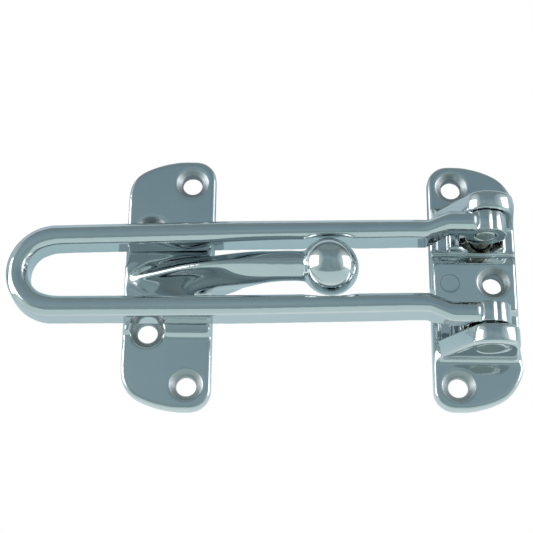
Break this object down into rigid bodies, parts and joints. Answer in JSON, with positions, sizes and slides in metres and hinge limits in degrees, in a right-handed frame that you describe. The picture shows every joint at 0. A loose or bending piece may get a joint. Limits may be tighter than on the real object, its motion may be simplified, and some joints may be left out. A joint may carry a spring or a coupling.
{
  "type": "door restrictor",
  "caption": "Chrome swing-bar door restrictor: a hinge plate carries a U-shaped bar, held by sprung balls, that closes over a ball on a curved horn of the keep plate.",
  "frame": {"origin": "centre of the hinge plate's back face, on the surface that it is screwed to", "axes": "+X from the keep plate towards the hinge plate, +Y along the hinge axis, +Z out of the mounting surface"},
  "size_m": [0.1329, 0.0694, 0.0211],
  "materials": {
    "hinge_plate": "polished",
    "hinge_pins": "polished",
    "bar": "polished",
    "keep": "polished",
    "balls": "polished",
    "springs": "satin"
  },
  "bodies": {
    "mounted_plates": {"hinge_plate": "hinge_plate", "hinge_pin_upper": "hinge_pins", "hinge_pin_lower": "hinge_pins", "detent_spring_upper": "springs", "detent_spring_lower": "springs", "keep_plate": "keep"},
    "bar": {"swing_bar": "bar"},
    "ball_upper": {"detent_ball_upper": "balls"},
    "ball_lower": {"detent_ball_lower": "balls"}
  },
  "joints": [
    {"name": "bar_swing", "type": "hinge", "parent": "mounted_plates", "child": "bar", "pos_m": [0.0021, 0, 0.0126], "axis": [0, 1, 0], "range_deg": [0, 180]},
    {"name": "detent_upper", "type": "slide", "parent": "mounted_plates", "child": "ball_upper", "axis": [0, 0, 1], "range_m": [-0.0005, 0], "stiffness_N_per_m": 800, "springref_m": 0.0005, "deforming": ["detent_spring_upper"]},
    {"name": "detent_lower", "type": "slide", "parent": "mounted_plates", "child": "ball_lower", "axis": [0, 0, 1], "range_m": [-0.0005, 0], "stiffness_N_per_m": 800, "springref_m": 0.0005, "deforming": ["detent_spring_lower"]}
  ]
}
